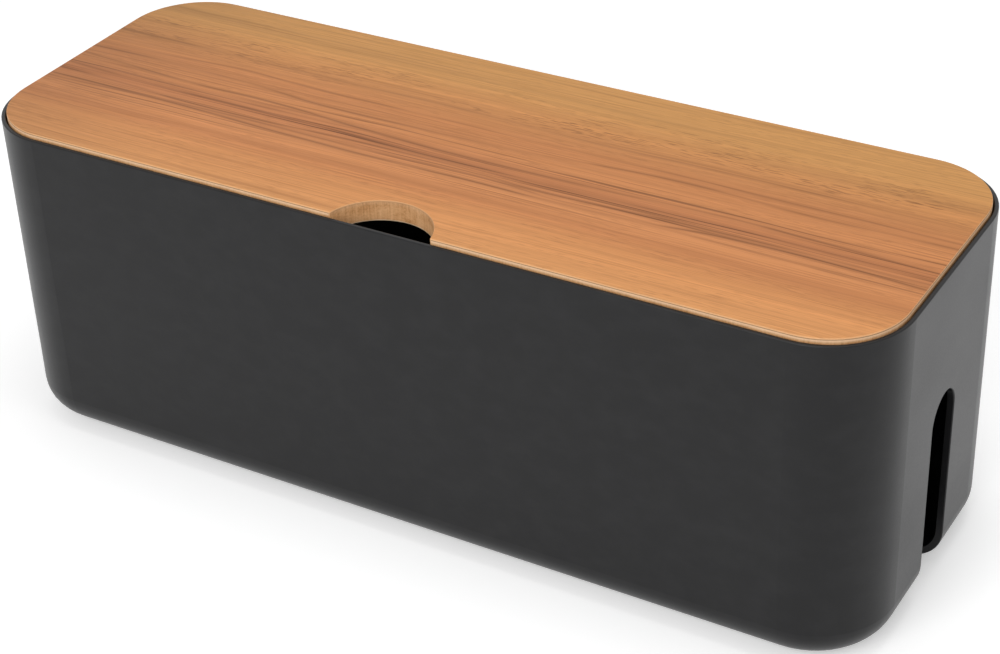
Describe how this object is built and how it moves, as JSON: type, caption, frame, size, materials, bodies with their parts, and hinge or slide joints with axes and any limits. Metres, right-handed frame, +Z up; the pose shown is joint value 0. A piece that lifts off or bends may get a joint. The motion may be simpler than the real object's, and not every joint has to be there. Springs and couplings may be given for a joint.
{
  "type": "cable management box",
  "caption": "Long rounded tub with a cord slot in each end, closed by a flat lift-off board lid with a half-round finger notch, for hiding a power strip and its cords.",
  "frame": {"origin": "middle of the footprint, on the surface that the four feet stand on", "axes": "+X along the box to the right end as seen from the front, +Y to the rear, +Z up; the finger notch is at the front, -Y"},
  "size_m": [0.4, 0.145, 0.1455],
  "materials": {
    "tub_plastic": "moulded, fine satin texture, near black",
    "lid_fibreboard": "cut fibreboard, bare",
    "lid_woodgrain": "wood-grain laminate, low satin",
    "lid_backing": "plain pale backing laminate, matt",
    "foot_rubber": "matt black rubber"
  },
  "bodies": {
    "box": {"tub": "tub_plastic", "foot_front_left": "foot_rubber", "foot_front_right": "foot_rubber", "foot_rear_left": "foot_rubber", "foot_rear_right": "foot_rubber"},
    "lid": {"lid_core": "lid_fibreboard", "lid_top_laminate": "lid_woodgrain", "lid_bottom_laminate": "lid_backing"}
  },
  "joints": [
    {"name": "lid_lift", "type": "slide", "parent": "box", "child": "lid", "axis": [0, 0, 1], "range_m": [0, 0.15]}
  ]
}
